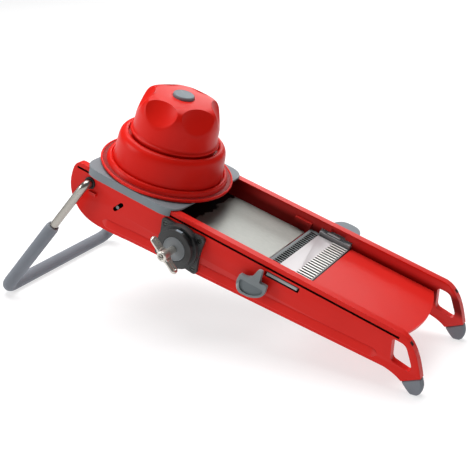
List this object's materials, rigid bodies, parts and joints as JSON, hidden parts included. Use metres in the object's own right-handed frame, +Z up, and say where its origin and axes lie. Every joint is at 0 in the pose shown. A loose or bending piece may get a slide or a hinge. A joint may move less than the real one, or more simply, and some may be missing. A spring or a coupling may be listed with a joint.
{
  "type": "mandoline slicer",
  "caption": "Sloping hand slicer with side rails, fold-out leg, thickness knob, swing-up julienne comb, pull-out blade cassette and a sprung bell pusher on a sliding carriage.",
  "frame": {"origin": "middle of the bounding box's bottom face, on the surface that the feet and the leg stand on", "axes": "+X runs down the slide towards the grips, +Y away from the thickness knob, +Z up"},
  "size_m": [0.4626, 0.19, 0.2255],
  "materials": {
    "red_plastic": "satin-gloss moulded",
    "grey_plastic": "fine-textured moulded",
    "grey_rubber": "soft matt",
    "black_plastic": "satin moulded",
    "clear_plastic": "polished",
    "brushed_steel": "brushed",
    "blade_steel": "fine ground",
    "polished_steel": "bright drawn rod and casting"
  },
  "bodies": {
    "root": {"near_side_wall": "red_plastic", "far_side_wall": "red_plastic", "index_window": "clear_plastic", "near_foot": "grey_rubber", "far_foot": "grey_rubber", "tray": "red_plastic", "rear_cross_member": "red_plastic", "middle_cross_member": "red_plastic", "near_leg_bush": "black_plastic", "far_leg_bush": "black_plastic", "knob_housing": "black_plastic", "housing_screw_1": "brushed_steel", "housing_screw_2": "brushed_steel", "housing_screw_3": "brushed_steel", "housing_screw_4": "brushed_steel", "comb_bed": "grey_plastic"},
    "leg": {"leg_rod": "polished_steel", "leg_sleeve": "grey_rubber"},
    "knob": {"knob_disc": "grey_plastic", "cam_shaft": "brushed_steel", "t_handle": "polished_steel", "handle_screw": "brushed_steel"},
    "plate": {"input_plate": "brushed_steel", "plate_carrier": "black_plastic", "near_guide_pin": "brushed_steel", "far_guide_pin": "brushed_steel"},
    "julienne": {"julienne_comb": "brushed_steel", "fan_lever": "grey_plastic"},
    "cassette": {"blade_plate": "blade_steel", "cassette_frame": "grey_plastic", "cassette_pull": "grey_plastic"},
    "carriage": {"carriage": "grey_plastic"},
    "bell": {"bell_guard": "red_plastic", "guard_spigot": "red_plastic", "retaining_ring": "black_plastic", "return_spring": "brushed_steel"},
    "plunger": {"plunger": "red_plastic", "plunger_cap": "grey_plastic", "plunger_rod": "brushed_steel", "prong_disc": "black_plastic"}
  },
  "joints": [
    {"name": "leg_fold", "type": "hinge", "parent": "root", "child": "leg", "pos_m": [-0.12073, 0.00165, 0.13589], "axis": [0, -1, 0], "range_deg": [0, 88]},
    {"name": "thickness_knob", "type": "hinge", "parent": "root", "child": "knob", "pos_m": [-0.01473, -0.06835, 0.09197], "axis": [0, -1, 0], "range_deg": [-84.71, 185.29]},
    {"name": "plate_lift", "type": "slide", "parent": "root", "child": "plate", "axis": [0.8192, 0, 0.5736], "range_m": [-0.0032, 0.007]},
    {"name": "julienne_swing", "type": "hinge", "parent": "root", "child": "julienne", "pos_m": [0.06918, 0.00165, 0.07623], "axis": [0, 1, 0], "range_deg": [0, 70]},
    {"name": "blade_slide", "type": "slide", "parent": "root", "child": "cassette", "axis": [0, 1, 0], "range_m": [0, 0.13]},
    {"name": "pusher_slide", "type": "slide", "parent": "root", "child": "carriage", "axis": [0.9613, 0, -0.2756], "range_m": [0, 0.215]},
    {"name": "pusher_turn", "type": "hinge", "parent": "carriage", "child": "bell", "pos_m": [-0.06783, 0.00165, 0.15349], "axis": [0.2756, 0, 0.9613], "continuous": true},
    {"name": "plunger_press", "type": "slide", "parent": "bell", "child": "plunger", "axis": [-0.2756, 0, -0.9613], "range_m": [0, 0.02], "stiffness_N_per_m": 250, "springref_m": -0.02, "deforming": ["return_spring"]}
  ],
  "couplings": [
    {"joint": "thickness_knob", "follows": "plate_lift", "rad_per_m": 462}
  ]
}
